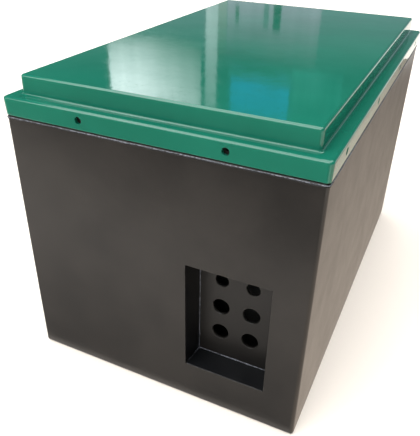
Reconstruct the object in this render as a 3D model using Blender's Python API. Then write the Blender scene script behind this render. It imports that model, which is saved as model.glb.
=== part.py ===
"""Rodent bait station: a moulded glass-fibre box with a lift-off lid, a recessed panel of entry holes, a
lift-out baffle, three bait rods in slotted racks and a tray for loose bait.

Metres, +Z up. The origin is the middle of the underside, and the entry end faces -Y.
"""

from math import cos, pi, radians, sin

import bmesh
import bpy
from mathutils import Matrix, Vector

# Clearance between pieces that touch, and the smallest corner that a wall is drawn with
GAP = 0.0003
SMALLEST_CORNER = 0.001

# Box: outside sizes below its shoulder, where the rim steps in to sit inside the lid
BODY_WIDTH = 0.346
BODY_LENGTH = 0.560
BODY_CORNER = 0.005
BASE_FILLET = 0.008
WALL = 0.004
FLOOR_FILLET = 0.004
SHOULDER_Z = 0.318
SHOULDER_ROUND = 0.0025
RIM_INSET = 0.0038
RIM_TOP_Z = 0.3332
RIM_ROUND = 0.0008
JOGGLE_DROP = 0.006

# Lid: its skirt stands a little proud of the box, and a raised panel fills its top
LID_WALL = 0.0035
SKIRT_BOTTOM_Z = 0.319
SKIRT_PROUD_LOW = 0.0008
SKIRT_PROUD_HIGH = 0.0013
LEDGE_Z = 0.339
LEDGE_ROUND = 0.003
PANEL_TOP_Z = 0.360
PANEL_INSET = 0.0133
PANEL_CORNER = 0.004
PANEL_DRAFT = 0.0004
PANEL_ROUND = 0.003
PANEL_FOOT_ROUND = 0.0025
CEILING_ROUND = 0.002
SEAL_OUTER_INSET = 0.0032
SEAL_INNER_INSET = 0.0092

# Lid screw holes: two at each end and four along each side
HOLE_Z = 0.329
LID_HOLE_RADIUS = 0.004
RIM_HOLE_RADIUS = 0.00165
NUT_HOLE_RADIUS = 0.00165
END_HOLE_X = (-0.079, 0.079)
SIDE_HOLE_SPACING = 0.153
SIDE_HOLE_Y = tuple(SIDE_HOLE_SPACING * step for step in (-1.5, -0.5, 0.5, 1.5))
NUT_PLATE_LENGTH = 0.022
NUT_PLATE_HEIGHT = 0.009
NUT_PLATE_THICKNESS = 0.0025
NUT_PLATE_TOP_Z = RIM_TOP_Z - 0.0007

# Entry recess: an opening in the front wall with a pocket behind it and a drilled plate at its back
RECESS_CENTRE_X = 0.0858
RECESS_CENTRE_Z = 0.1227
RECESS_WIDTH = 0.0962
RECESS_HEIGHT = 0.1410
RECESS_DEPTH = 0.030
RECESS_CORNER = 0.0015
POCKET_WALL = 0.003
POCKET_DRAFT = 0.0005
POCKET_SIDE_DRAFT = 0.003
FRONT_FLANGE = 0.015
REAR_FLANGE = 0.013
ENTRY_PLATE_THICKNESS = 0.003
ENTRY_PITCH = 0.0365
ENTRY_ROW_RADII = (0.0099, 0.0100, 0.0077)
ENTRY_MIDDLE_Z = 0.1258

# Baffle, in a bonded channel on each side wall
BAFFLE_Y = -0.150
BAFFLE_THICKNESS = 0.003
BAFFLE_HALF_WIDTH = 0.1635
BAFFLE_TOP_Z = 0.238
DOORWAY_CENTRE_X = -0.112
DOORWAY_WIDTH = 0.064
DOORWAY_HEIGHT = 0.066
DOORWAY_ROUND = 0.012
LIFT_SLOT_Z = 0.218
LIFT_SLOT_WIDTH = 0.072
LIFT_SLOT_HEIGHT = 0.020
CHANNEL_DEPTH = 0.010
CHANNEL_WIDTH = 0.012
CHANNEL_TOP_Z = 0.225
CHANNEL_SLOT_DEPTH = 0.0058
CHANNEL_SLOT_WIDTH = 0.0042

# Bait rods, each with blocks between two push-on clips, resting in open slots of two racks
ROD_Y = (-0.100, -0.020, 0.060)
ROD_Z = 0.085
ROD_RADIUS = 0.003
ROD_REACH = 0.150
ROD_BEND = 0.008
ROD_HANDLE = 0.032
BLOCKS_PER_ROD = 4
BLOCK_LENGTH = 0.058
BLOCK_SIDE = 0.028
BLOCK_ROUND = 0.004
BLOCK_END_EASE = 0.003
BLOCK_HOLE_RADIUS = 0.004
BLOCK_PITCH = BLOCK_LENGTH + 0.001
CLIP_RADIUS = 0.008
CLIP_THICKNESS = 0.0015
RACK_X = 0.140
RACK_THICKNESS = 0.003
RACK_FRONT_Y = -0.125
RACK_BACK_Y = 0.085
RACK_HEIGHT = 0.103
RACK_FOOT = 0.023
RACK_SLOT_WIDTH = 0.0075
RACK_SCREW_Y = (-0.060, 0.020)
RACK_SCREW_X = 0.152
SCREW_RADIUS = 0.002
SCREW_HEAD_RADIUS = 0.0042
SCREW_HEAD_HEIGHT = 0.0026
SCREW_HOLE_RADIUS = SCREW_RADIUS + GAP
SCREW_HOLE_DEPTH = 0.0026

# Loose-bait tray between two low rails
TRAY_CENTRE_Y = 0.190
TRAY_LENGTH_X = 0.290
TRAY_WIDTH_Y = 0.136
TRAY_HEIGHT = 0.036
TRAY_WALL = 0.002
TRAY_DRAFT = 0.004
TRAY_LIP = 0.005
TRAY_CORNER = 0.014
TRAY_FOOT_ROUND = 0.003
RAIL_X = TRAY_LENGTH_X / 2 - 0.0015
RAIL_THICKNESS = 0.002
RAIL_HEIGHT = 0.012
RAIL_FOOT = 0.010

CORNER_STEPS = 5
HALF_X = BODY_WIDTH / 2
HALF_Y = BODY_LENGTH / 2
FLOOR_Z = WALL + GAP
RIM_INNER_INSET = RIM_INSET + WALL


# ---- scene, meshes and objects

def clear_scene():
    for obj in list(bpy.data.objects):
        bpy.data.objects.remove(obj, do_unlink=True)


def make_material(name, colour, roughness, metallic=0.0):
    material = bpy.data.materials.new(name)
    material.use_nodes = True
    shader = material.node_tree.nodes["Principled BSDF"]
    shader.inputs["Base Color"].default_value = (*colour, 1.0)
    shader.inputs["Roughness"].default_value = roughness
    shader.inputs["Metallic"].default_value = metallic
    return material


def make_empty(name, location):
    """A body's own frame: a lifted piece hangs from it, and its Z is the way it lifts."""
    empty = bpy.data.objects.new(name, None)
    empty.empty_display_size = 0.03
    empty.location = location
    bpy.context.scene.collection.objects.link(empty)
    return empty


def mesh_of(bm, name):
    mesh = bpy.data.meshes.new(name)
    bm.to_mesh(mesh)
    bm.free()
    return mesh


def make_object(name, mesh, material, parent, location=(0, 0, 0), rotation=(0, 0, 0)):
    obj = bpy.data.objects.new(name, mesh)
    mesh.materials.clear()
    mesh.materials.append(material)
    mesh.shade_smooth()
    mesh.set_sharp_from_angle(angle=radians(35))
    obj.parent = parent
    obj.location = Vector(location) - (parent.location if parent else Vector())
    obj.rotation_euler = rotation
    bpy.context.scene.collection.objects.link(obj)
    return obj


def cut(target, bm):
    """Takes the closed shapes in bm, drawn in the target's own frame, out of the target."""
    cutter = bpy.data.objects.new(target.name + "_cutter", mesh_of(bm, target.name + "_cutter"))
    cutter.parent = target
    cutter.hide_render = True
    cutter.display_type = "WIRE"
    bpy.context.scene.collection.objects.link(cutter)
    modifier = target.modifiers.new("cut", "BOOLEAN")
    modifier.operation = "DIFFERENCE"
    modifier.solver = "EXACT"
    modifier.object = cutter


def add_box(bm, low, high):
    size = Vector(high) - Vector(low)
    centre = (Vector(high) + Vector(low)) / 2
    bmesh.ops.create_cube(bm, size=1, matrix=Matrix.Translation(centre) @ Matrix.Diagonal((*size, 1)))


def add_cylinder(bm, centre, axis, radius, length, sides):
    turn = Vector((0, 0, 1)).rotation_difference(Vector(axis)).to_matrix().to_4x4()
    bmesh.ops.create_cone(
        bm,
        cap_ends=True,
        segments=sides,
        radius1=radius,
        radius2=radius,
        depth=length,
        matrix=Matrix.Translation(centre) @ turn,
    )


# ---- outlines

def quarter_turn(start, end, leaves, steps=4):
    """Points on a quarter ellipse from start to end, leaving start either "level" or "upright"."""
    points = []
    for step in range(steps + 1):
        angle = step / steps * pi / 2
        fast, slow = sin(angle), 1 - cos(angle)
        across, up = (fast, slow) if leaves == "level" else (slow, fast)
        points.append((start[0] + (end[0] - start[0]) * across, start[1] + (end[1] - start[1]) * up))
    return points


def rounded_ring(half_x, half_y, radius, z, steps=CORNER_STEPS):
    """One anticlockwise ring of points round a rectangle with rounded corners."""
    ring = []
    for quarter, (side_x, side_y) in enumerate(((1, 1), (-1, 1), (-1, -1), (1, -1))):
        for step in range(steps + 1):
            angle = (quarter + step / steps) * pi / 2
            x = side_x * (half_x - radius) + radius * cos(angle)
            y = side_y * (half_y - radius) + radius * sin(angle)
            ring.append((x, y, z))
    return ring


def round_ring(radius, z, sides):
    return [(radius * cos(2 * pi * i / sides), radius * sin(2 * pi * i / sides), z) for i in range(sides)]


def inset_rings(half_x, half_y, corner, profile):
    """A ring for each (inset, z) of the profile; a corner tightens as its ring goes in."""
    return [
        rounded_ring(half_x - inset, half_y - inset, max(corner - inset, SMALLEST_CORNER), z)
        for inset, z in profile
    ]


def skin(rings, name, closed=False):
    """A mesh over rings of equal count: capped at both ends, or closed back onto the first ring."""
    bm = bmesh.new()
    loops = [[bm.verts.new(point) for point in ring] for ring in rings]
    bands = list(zip(loops, loops[1:]))
    if closed:
        bands.append((loops[-1], loops[0]))
    else:
        bm.faces.new(list(reversed(loops[0])))
        bm.faces.new(loops[-1])
    for lower, upper in bands:
        for i, corner in enumerate(lower):
            j = (i + 1) % len(lower)
            bm.faces.new((corner, lower[j], upper[j], upper[i]))
    return mesh_of(bm, name)


def extruded(outline, depth, name):
    """A prism: the outline in XY, anticlockwise, from z = -depth/2 to depth/2."""
    lower = [(x, y, -depth / 2) for x, y in outline]
    upper = [(x, y, depth / 2) for x, y in outline]
    return skin([lower, upper], name)


# ---- box

def screw_hole_places():
    """(name, direction out of the box, distance along the wall) of each lid screw."""
    places = []
    for number, x in enumerate(END_HOLE_X, 1):
        places.append((f"front_{number}", Vector((0, -1, 0)), x))
        places.append((f"back_{number}", Vector((0, 1, 0)), x))
    for number, y in enumerate(SIDE_HOLE_Y, 1):
        places.append((f"left_{number}", Vector((-1, 0, 0)), y))
        places.append((f"right_{number}", Vector((1, 0, 0)), y))
    return places


def on_wall(out, along, inset):
    """The point that far along a wall and that far in from the box's outer face, at the screws' height."""
    if out.x:
        return Vector((out.x * (HALF_X - inset), along, HOLE_Z))
    return Vector((along, out.y * (HALF_Y - inset), HOLE_Z))


def cut_screw_holes(target, radius, inset, length):
    bm = bmesh.new()
    for _, out, along in screw_hole_places():
        add_cylinder(bm, on_wall(out, along, inset), out, radius, length, sides=16)
    cut(target, bm)


def make_body_shell(material, parent):
    """The tub: rounded base edge, plain walls, a rounded shoulder and a thinner rim that stands inside it."""
    outer = quarter_turn((BASE_FILLET, 0), (0, BASE_FILLET), "level")
    outer += quarter_turn((0, SHOULDER_Z - SHOULDER_ROUND), (SHOULDER_ROUND, SHOULDER_Z), "upright")
    rim = [
        (RIM_INSET, SHOULDER_Z),
        (RIM_INSET, RIM_TOP_Z - RIM_ROUND),
        (RIM_INSET + RIM_ROUND, RIM_TOP_Z),
        (RIM_INNER_INSET - RIM_ROUND, RIM_TOP_Z),
        (RIM_INNER_INSET, RIM_TOP_Z - RIM_ROUND),
        (RIM_INNER_INSET, SHOULDER_Z - WALL / 2),
        (WALL, SHOULDER_Z - WALL / 2 - JOGGLE_DROP),
    ]
    floor = quarter_turn((WALL, WALL + FLOOR_FILLET), (WALL + FLOOR_FILLET, WALL), "upright")
    rings = inset_rings(HALF_X, HALF_Y, BODY_CORNER, outer + rim + floor)
    shell = make_object("body_shell", skin(rings, "body_shell"), material, parent)
    bm = bmesh.new()
    add_box(
        bm,
        (RECESS_CENTRE_X - RECESS_WIDTH / 2, -HALF_Y - WALL, RECESS_CENTRE_Z - RECESS_HEIGHT / 2),
        (RECESS_CENTRE_X + RECESS_WIDTH / 2, -HALF_Y + 2 * WALL, RECESS_CENTRE_Z + RECESS_HEIGHT / 2),
    )
    cut(shell, bm)
    cut_screw_holes(shell, RIM_HOLE_RADIUS, RIM_INSET + WALL / 2, 2 * WALL)
    bm = bmesh.new()
    for side in (-1, 1):
        for y in RACK_SCREW_Y:
            add_cylinder(
                bm,
                (side * RACK_SCREW_X, y, WALL),
                (0, 0, 1),
                SCREW_HOLE_RADIUS,
                2 * SCREW_HOLE_DEPTH,
                sides=10,
            )
    cut(shell, bm)
    return shell


def make_nut_plates(material, parent):
    """A tapped plate bonded behind the rim at each lid screw."""
    for name, out, along in screw_hole_places():
        centre = on_wall(out, along, RIM_INNER_INSET + GAP + NUT_PLATE_THICKNESS / 2)
        centre.z = NUT_PLATE_TOP_Z - NUT_PLATE_HEIGHT / 2
        half = Vector((NUT_PLATE_LENGTH, NUT_PLATE_HEIGHT, NUT_PLATE_THICKNESS)) / 2
        bm = bmesh.new()
        add_box(bm, -half, half)
        heading = pi / 2 if out.x else 0
        plate = make_object(
            "nut_plate_" + name,
            mesh_of(bm, "nut_plate"),
            material,
            parent,
            centre,
            (pi / 2, 0, heading),
        )
        bm = bmesh.new()
        hole = (0, HOLE_Z - centre.z, 0)
        add_cylinder(bm, hole, (0, 0, 1), NUT_HOLE_RADIUS, 3 * NUT_PLATE_THICKNESS, sides=10)
        cut(plate, bm)


# ---- entry recess, drawn looking at the front: its own z points out of the box

def front_facing(name, mesh, material, parent, y):
    return make_object(name, mesh, material, parent, (RECESS_CENTRE_X, y, RECESS_CENTRE_Z), (pi / 2, 0, 0))


def make_entry_pocket(material, parent):
    """Four drafted walls with a flange at the front, bonded behind the box wall, and one at the back."""
    depth = RECESS_DEPTH - WALL - GAP
    front = -GAP
    at_back = [
        (-REAR_FLANGE, -depth),
        (-REAR_FLANGE, -depth + POCKET_WALL),
        (-POCKET_WALL, -depth + POCKET_WALL),
    ]
    at_front = [
        (-POCKET_WALL, front - POCKET_WALL),
        (-FRONT_FLANGE, front - POCKET_WALL),
        (-FRONT_FLANGE, front),
        (0, front),
    ]
    half_x, half_y = RECESS_WIDTH / 2, RECESS_HEIGHT / 2
    back_x, back_y = half_x - POCKET_SIDE_DRAFT, half_y - POCKET_DRAFT
    rings = inset_rings(back_x, back_y, RECESS_CORNER, at_back)
    rings += inset_rings(half_x, half_y, RECESS_CORNER, at_front)
    rings += inset_rings(back_x, back_y, RECESS_CORNER, [(0, -depth)])
    mesh = skin(rings, "entry_pocket", closed=True)
    return front_facing("entry_pocket", mesh, material, parent, -HALF_Y + WALL)


def make_entry_plate(material, parent):
    """The back of the recess: two columns of three round entry holes."""
    half_x = RECESS_WIDTH / 2 - POCKET_SIDE_DRAFT + REAR_FLANGE
    half_y = RECESS_HEIGHT / 2 - POCKET_DRAFT + REAR_FLANGE
    profile = [(0, -ENTRY_PLATE_THICKNESS), (0, 0)]
    mesh = skin(inset_rings(half_x, half_y, RECESS_CORNER + REAR_FLANGE, profile), "entry_plate")
    plate = front_facing("entry_plate", mesh, material, parent, -HALF_Y + RECESS_DEPTH)
    bm = bmesh.new()
    for row, radius in zip((-1, 0, 1), ENTRY_ROW_RADII):
        for column in (-0.5, 0.5):
            centre = (column * ENTRY_PITCH, ENTRY_MIDDLE_Z - RECESS_CENTRE_Z + row * ENTRY_PITCH, 0)
            add_cylinder(bm, centre, (0, 0, 1), radius, 4 * ENTRY_PLATE_THICKNESS, sides=24)
    cut(plate, bm)
    return plate


# ---- lid

def make_lid_shell(material, parent):
    """From the ceiling inside, down to the skirt's lower edge, then up the outside to the raised panel."""
    wall_inset = PANEL_INSET + LID_WALL
    ceiling_z = PANEL_TOP_Z - LID_WALL
    under_ledge_z = LEDGE_Z - LID_WALL
    skirt_inner = LID_WALL - SKIRT_PROUD_LOW
    panel = quarter_turn(
        (wall_inset + CEILING_ROUND, ceiling_z),
        (wall_inset, ceiling_z - CEILING_ROUND),
        "level",
        steps=2,
    )
    panel.append((wall_inset, under_ledge_z))
    skirt = [
        (skirt_inner, under_ledge_z),
        (skirt_inner, SKIRT_BOTTOM_Z),
        (-SKIRT_PROUD_LOW + RIM_ROUND, SKIRT_BOTTOM_Z),
        (-SKIRT_PROUD_LOW, SKIRT_BOTTOM_Z + RIM_ROUND),
    ]
    skirt += quarter_turn(
        (-SKIRT_PROUD_HIGH, LEDGE_Z - LEDGE_ROUND),
        (-SKIRT_PROUD_HIGH + LEDGE_ROUND, LEDGE_Z),
        "upright",
    )
    rise = quarter_turn(
        (PANEL_INSET - PANEL_FOOT_ROUND, LEDGE_Z),
        (PANEL_INSET, LEDGE_Z + PANEL_FOOT_ROUND),
        "level",
    )
    rise += quarter_turn(
        (PANEL_INSET + PANEL_DRAFT, PANEL_TOP_Z - PANEL_ROUND),
        (PANEL_INSET + PANEL_DRAFT + PANEL_ROUND, PANEL_TOP_Z),
        "upright",
    )
    panel_corner = PANEL_INSET + PANEL_CORNER
    rings = inset_rings(HALF_X, HALF_Y, panel_corner, panel)
    rings += inset_rings(HALF_X, HALF_Y, BODY_CORNER, skirt)
    rings += inset_rings(HALF_X, HALF_Y, panel_corner, rise)
    rings = [[(x, y, z - SKIRT_BOTTOM_Z) for x, y, z in ring] for ring in rings]
    shell = make_object("lid_shell", skin(rings, "lid_shell"), material, parent, (0, 0, SKIRT_BOTTOM_Z))
    bm = bmesh.new()
    for _, out, along in screw_hole_places():
        centre = on_wall(out, along, LID_WALL / 2 - SKIRT_PROUD_LOW) - shell.matrix_basis.translation
        centre.z = HOLE_Z - SKIRT_BOTTOM_Z
        add_cylinder(bm, centre, out, LID_HOLE_RADIUS, 2 * LID_WALL, sides=16)
    cut(shell, bm)
    return shell


def make_lid_seal(material, parent):
    """A flat foam strip stuck under the lid's ledge, above the rim."""
    low_z = RIM_TOP_Z + GAP
    high_z = LEDGE_Z - LID_WALL - GAP
    profile = [
        (SEAL_OUTER_INSET, low_z),
        (SEAL_OUTER_INSET, high_z),
        (SEAL_INNER_INSET, high_z),
        (SEAL_INNER_INSET, low_z),
    ]
    rings = inset_rings(HALF_X, HALF_Y, BODY_CORNER, profile)
    rings = [[(x, y, z - low_z) for x, y, z in ring] for ring in rings]
    return make_object("lid_seal", skin(rings, "lid_seal", closed=True), material, parent, (0, 0, low_z))


# ---- baffle

def make_baffle_channel(name, side, material, parent):
    """An upright channel on a side wall; its slot faces the middle of the box."""
    back = HALF_X - WALL - GAP
    mouth = back - CHANNEL_DEPTH
    bottom = mouth + CHANNEL_SLOT_DEPTH
    outer = CHANNEL_WIDTH / 2
    inner = CHANNEL_SLOT_WIDTH / 2
    outline = [
        (back, -outer),
        (back, outer),
        (mouth, outer),
        (mouth, inner),
        (bottom, inner),
        (bottom, -inner),
        (mouth, -inner),
        (mouth, -outer),
    ]
    height = CHANNEL_TOP_Z - FLOOR_Z - FLOOR_FILLET
    turn = (0, 0, 0) if side > 0 else (0, 0, pi)
    place = (0, BAFFLE_Y, FLOOR_Z + FLOOR_FILLET + height / 2)
    return make_object(name, extruded(outline, height, name), material, parent, place, turn)


def make_baffle_plate(material, parent):
    """A sheet across the box with a round-topped doorway at its foot and a slot to lift it by."""
    bm = bmesh.new()
    low = (-BAFFLE_HALF_WIDTH, -BAFFLE_THICKNESS / 2, 0)
    high = (BAFFLE_HALF_WIDTH, BAFFLE_THICKNESS / 2, BAFFLE_TOP_Z - FLOOR_Z)
    add_box(bm, low, high)
    plate = make_object("baffle_plate", mesh_of(bm, "baffle_plate"), material, parent, (0, BAFFLE_Y, FLOOR_Z))
    doorway = rounded_ring(DOORWAY_WIDTH / 2, DOORWAY_HEIGHT, DOORWAY_ROUND, 0)
    slot = rounded_ring(LIFT_SLOT_WIDTH / 2, LIFT_SLOT_HEIGHT / 2, LIFT_SLOT_HEIGHT / 2 - GAP, 0)
    cutters = bmesh.new()
    for ring, x, z in ((doorway, DOORWAY_CENTRE_X, 0), (slot, 0, LIFT_SLOT_Z - FLOOR_Z)):
        outline = [(point[0], point[1]) for point in ring]
        prism = extruded(outline, 4 * BAFFLE_THICKNESS, "baffle_opening")
        prism.transform(Matrix.Translation((x, 0, z)) @ Matrix.Rotation(pi / 2, 4, "X"))
        cutters.from_mesh(prism)
        bpy.data.meshes.remove(prism)
    cut(plate, cutters)
    return plate


# ---- bait rods and their racks

def make_rod_rack(name, side, material, parent):
    """An angle with its foot towards the side wall and an open-topped slot for each rod."""
    inner = RACK_X - RACK_THICKNESS / 2
    outer = RACK_X + RACK_THICKNESS / 2
    toe = inner + RACK_FOOT
    length = RACK_BACK_Y - RACK_FRONT_Y
    outline = [
        (inner, 0),
        (toe, 0),
        (toe, RACK_THICKNESS),
        (outer, RACK_THICKNESS),
        (outer, RACK_HEIGHT - FLOOR_Z),
        (inner, RACK_HEIGHT - FLOOR_Z),
    ]
    mesh = extruded([(side * x, z) for x, z in outline][::side], length, name)
    mesh.transform(Matrix.Rotation(pi / 2, 4, "X"))
    middle = (RACK_FRONT_Y + RACK_BACK_Y) / 2
    rack = make_object(name, mesh, material, parent, (0, middle, FLOOR_Z))
    bm = bmesh.new()
    slot_radius = RACK_SLOT_WIDTH / 2
    slot_z = ROD_Z - ROD_RADIUS - GAP + slot_radius - FLOOR_Z
    for rod_y in ROD_Y:
        arch = [
            (slot_radius * cos(angle), slot_radius * sin(angle))
            for angle in (-pi + pi * step / 8 for step in range(9))
        ]
        outline = [(slot_radius, RACK_HEIGHT), *reversed(arch), (-slot_radius, RACK_HEIGHT)][::-1]
        prism = extruded(outline, 4 * RACK_THICKNESS, "rod_slot")
        place = Matrix.Translation((side * RACK_X, rod_y - middle, slot_z))
        prism.transform(place @ Matrix.Rotation(pi / 2, 4, "Z") @ Matrix.Rotation(pi / 2, 4, "X"))
        bm.from_mesh(prism)
        bpy.data.meshes.remove(prism)
    for y in RACK_SCREW_Y:
        hole = (side * RACK_SCREW_X, y - middle, RACK_THICKNESS / 2)
        add_cylinder(bm, hole, (0, 0, 1), SCREW_HOLE_RADIUS, 3 * RACK_THICKNESS, sides=10)
    cut(rack, bm)
    return rack


def make_rack_screw(name, x, y, material, parent):
    """A domed screw through the rack's foot into the floor of the box."""
    seat = FLOOR_Z + RACK_THICKNESS + GAP
    tip = WALL - SCREW_HOLE_DEPTH + GAP - seat
    profile = [(SCREW_RADIUS * 0.7, tip), (SCREW_RADIUS, tip + SCREW_RADIUS * 0.3), (SCREW_RADIUS, 0)]
    dome = quarter_turn((0, 0), (SCREW_HEAD_RADIUS * 0.75, SCREW_HEAD_HEIGHT), "upright", steps=3)
    profile += [(SCREW_HEAD_RADIUS - inset, z) for inset, z in dome]
    rings = [round_ring(radius, z, 10) for radius, z in profile]
    return make_object(name, skin(rings, name), material, parent, (x, y, seat))


def make_bait_rod(name, y, material, parent):
    """Round wire along X, turned up at one end as a handle."""
    curve = bpy.data.curves.new(name, "CURVE")
    curve.dimensions = "3D"
    curve.bevel_depth = ROD_RADIUS
    curve.bevel_resolution = 2
    curve.use_fill_caps = True
    bend = quarter_turn((ROD_REACH - ROD_BEND, 0), (ROD_REACH, ROD_BEND), "level", steps=5)
    route = [(-ROD_REACH, 0), *bend, (ROD_REACH, ROD_HANDLE)]
    spline = curve.splines.new("POLY")
    spline.points.add(len(route) - 1)
    for point, (x, z) in zip(spline.points, route):
        point.co = (x, 0, z, 1)
    spline.use_smooth = True
    curve.materials.append(material)
    rod = bpy.data.objects.new(name, curve)
    rod.parent = parent
    rod.location = Vector((0, y, ROD_Z)) - parent.location
    bpy.context.scene.collection.objects.link(rod)
    return rod


def bait_block_mesh():
    """A square-section block along X with rounded edges, eased ends and a hole for the rod."""
    half = BLOCK_SIDE / 2
    end = BLOCK_LENGTH / 2
    ease = BLOCK_END_EASE
    outside = [(ease, -end), (0, -end + ease), (0, end - ease), (ease, end)]
    rings = [
        rounded_ring(half - inset, half - inset, BLOCK_ROUND, z, steps=2) for inset, z in outside
    ]
    sides = len(rings[0])
    turn = pi / 4 - 2 * pi / sides
    for z in (end, -end):
        hole = round_ring(BLOCK_HOLE_RADIUS, z, sides)
        rings.append([Matrix.Rotation(turn, 3, "Z") @ Vector(point) for point in hole])
    mesh = skin(rings, "bait_block", closed=True)
    mesh.transform(Matrix.Rotation(pi / 2, 4, "Y"))
    return mesh


def clip_mesh():
    """A push-on washer that keeps the blocks on the rod, its axis along X."""
    hole = ROD_RADIUS + GAP
    half = CLIP_THICKNESS / 2
    profile = [(CLIP_RADIUS, -half), (CLIP_RADIUS, half), (hole, half), (hole, -half)]
    mesh = skin([round_ring(radius, z, 16) for radius, z in profile], "rod_clip", closed=True)
    mesh.transform(Matrix.Rotation(pi / 2, 4, "Y"))
    return mesh


def make_rod_set(number, y, materials, station):
    """One rod with its blocks and clips, all on one lifting frame."""
    lift = make_empty(f"rod_{number}_lift", (0, y, ROD_Z))
    lift.parent = station
    make_bait_rod(f"bait_rod_{number}", y, materials["bright_steel"], lift)
    sag = BLOCK_HOLE_RADIUS - ROD_RADIUS - 2 * GAP
    first_x = -BLOCK_PITCH * (BLOCKS_PER_ROD - 1) / 2
    for index in range(BLOCKS_PER_ROD):
        name = f"bait_block_{number}_{index + 1}"
        place = (first_x + index * BLOCK_PITCH, y, ROD_Z - sag)
        make_object(name, bait_block_mesh(), materials["bait_wax"], lift, place)
    clip_x = BLOCK_PITCH * BLOCKS_PER_ROD / 2 + CLIP_THICKNESS
    for side, word in ((-1, "left"), (1, "right")):
        name = f"rod_clip_{number}_{word}"
        make_object(name, clip_mesh(), materials["spring_steel"], lift, (side * clip_x, y, ROD_Z))


# ---- tray

def make_bait_tray(material, parent):
    """A drafted tray with a turned-out lip."""
    outer = [
        (TRAY_DRAFT + TRAY_FOOT_ROUND, 0),
        (TRAY_DRAFT, TRAY_FOOT_ROUND),
        (0, TRAY_HEIGHT - TRAY_WALL),
        (-TRAY_LIP, TRAY_HEIGHT - TRAY_WALL),
        (-TRAY_LIP, TRAY_HEIGHT),
    ]
    inner = [
        (TRAY_WALL, TRAY_HEIGHT),
        (TRAY_DRAFT + TRAY_WALL, TRAY_WALL + TRAY_FOOT_ROUND),
        (TRAY_DRAFT + TRAY_WALL + TRAY_FOOT_ROUND, TRAY_WALL),
    ]
    rings = inset_rings(TRAY_LENGTH_X / 2, TRAY_WIDTH_Y / 2, TRAY_CORNER, outer + inner)
    mesh = skin(rings, "bait_tray")
    return make_object("bait_tray", mesh, material, parent, (0, TRAY_CENTRE_Y, FLOOR_Z))


def make_tray_rail(name, side, material, parent):
    """A low angle bonded to the floor beside the tray, its foot towards the side wall."""
    outline = [
        (RAIL_X, 0),
        (RAIL_X + RAIL_FOOT, 0),
        (RAIL_X + RAIL_FOOT, RAIL_THICKNESS),
        (RAIL_X + RAIL_THICKNESS, RAIL_THICKNESS),
        (RAIL_X + RAIL_THICKNESS, RAIL_HEIGHT),
        (RAIL_X, RAIL_HEIGHT),
    ]
    mesh = extruded([(side * x, z) for x, z in outline][::side], TRAY_WIDTH_Y, name)
    mesh.transform(Matrix.Rotation(pi / 2, 4, "X"))
    return make_object(name, mesh, material, parent, (0, TRAY_CENTRE_Y, FLOOR_Z))


# ---- whole object

def make_materials():
    return {
        "grey_fibreglass": make_material("grey_fibreglass", (0.060, 0.052, 0.046), 0.42),
        "green_gelcoat": make_material("green_gelcoat", (0.013, 0.168, 0.098), 0.12),
        "dark_fibreglass": make_material("dark_fibreglass", (0.050, 0.046, 0.042), 0.50),
        "seal_foam": make_material("seal_foam", (0.020, 0.020, 0.022), 0.85),
        "zinc_steel": make_material("zinc_steel", (0.55, 0.54, 0.50), 0.38, metallic=1.0),
        "bright_steel": make_material("bright_steel", (0.62, 0.61, 0.59), 0.25, metallic=1.0),
        "spring_steel": make_material("spring_steel", (0.30, 0.30, 0.31), 0.35, metallic=1.0),
        "aluminium": make_material("aluminium", (0.70, 0.70, 0.71), 0.40, metallic=1.0),
        "bait_wax": make_material("bait_wax", (0.030, 0.250, 0.270), 0.60),
        "tray_plastic": make_material("tray_plastic", (0.025, 0.025, 0.027), 0.50),
    }


def build():
    clear_scene()
    materials = make_materials()
    station = make_empty("station", (0, 0, 0))
    make_body_shell(materials["grey_fibreglass"], station)
    make_nut_plates(materials["zinc_steel"], station)
    make_entry_pocket(materials["dark_fibreglass"], station)
    make_entry_plate(materials["dark_fibreglass"], station)
    lid = make_empty("lid_lift", (0, 0, SKIRT_BOTTOM_Z))
    lid.parent = station
    make_lid_shell(materials["green_gelcoat"], lid)
    make_lid_seal(materials["seal_foam"], lid)
    baffle = make_empty("baffle_lift", (0, BAFFLE_Y, FLOOR_Z))
    baffle.parent = station
    make_baffle_plate(materials["aluminium"], baffle)
    for word, side in (("left", -1), ("right", 1)):
        make_baffle_channel("baffle_channel_" + word, side, materials["dark_fibreglass"], station)
        make_rod_rack("rod_rack_" + word, side, materials["aluminium"], station)
        make_tray_rail("tray_rail_" + word, side, materials["dark_fibreglass"], station)
        for number, y in enumerate(RACK_SCREW_Y, 1):
            name = f"rack_screw_{word}_{number}"
            make_rack_screw(name, side * RACK_SCREW_X, y, materials["zinc_steel"], station)
    for number, y in enumerate(ROD_Y, 1):
        make_rod_set(number, y, materials, station)
    tray = make_empty("tray_lift", (0, TRAY_CENTRE_Y, FLOOR_Z))
    tray.parent = station
    make_bait_tray(materials["tray_plastic"], tray)


build()
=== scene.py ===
"""The looks of the bait station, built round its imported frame: moulded glass fibre, gelcoat, resin, sheet
metal, wire and wax, with a pale floor and soft studio light."""

from math import cos, pi, radians, sin

import bmesh
import bpy
from mathutils import Matrix, Vector, noise


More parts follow.
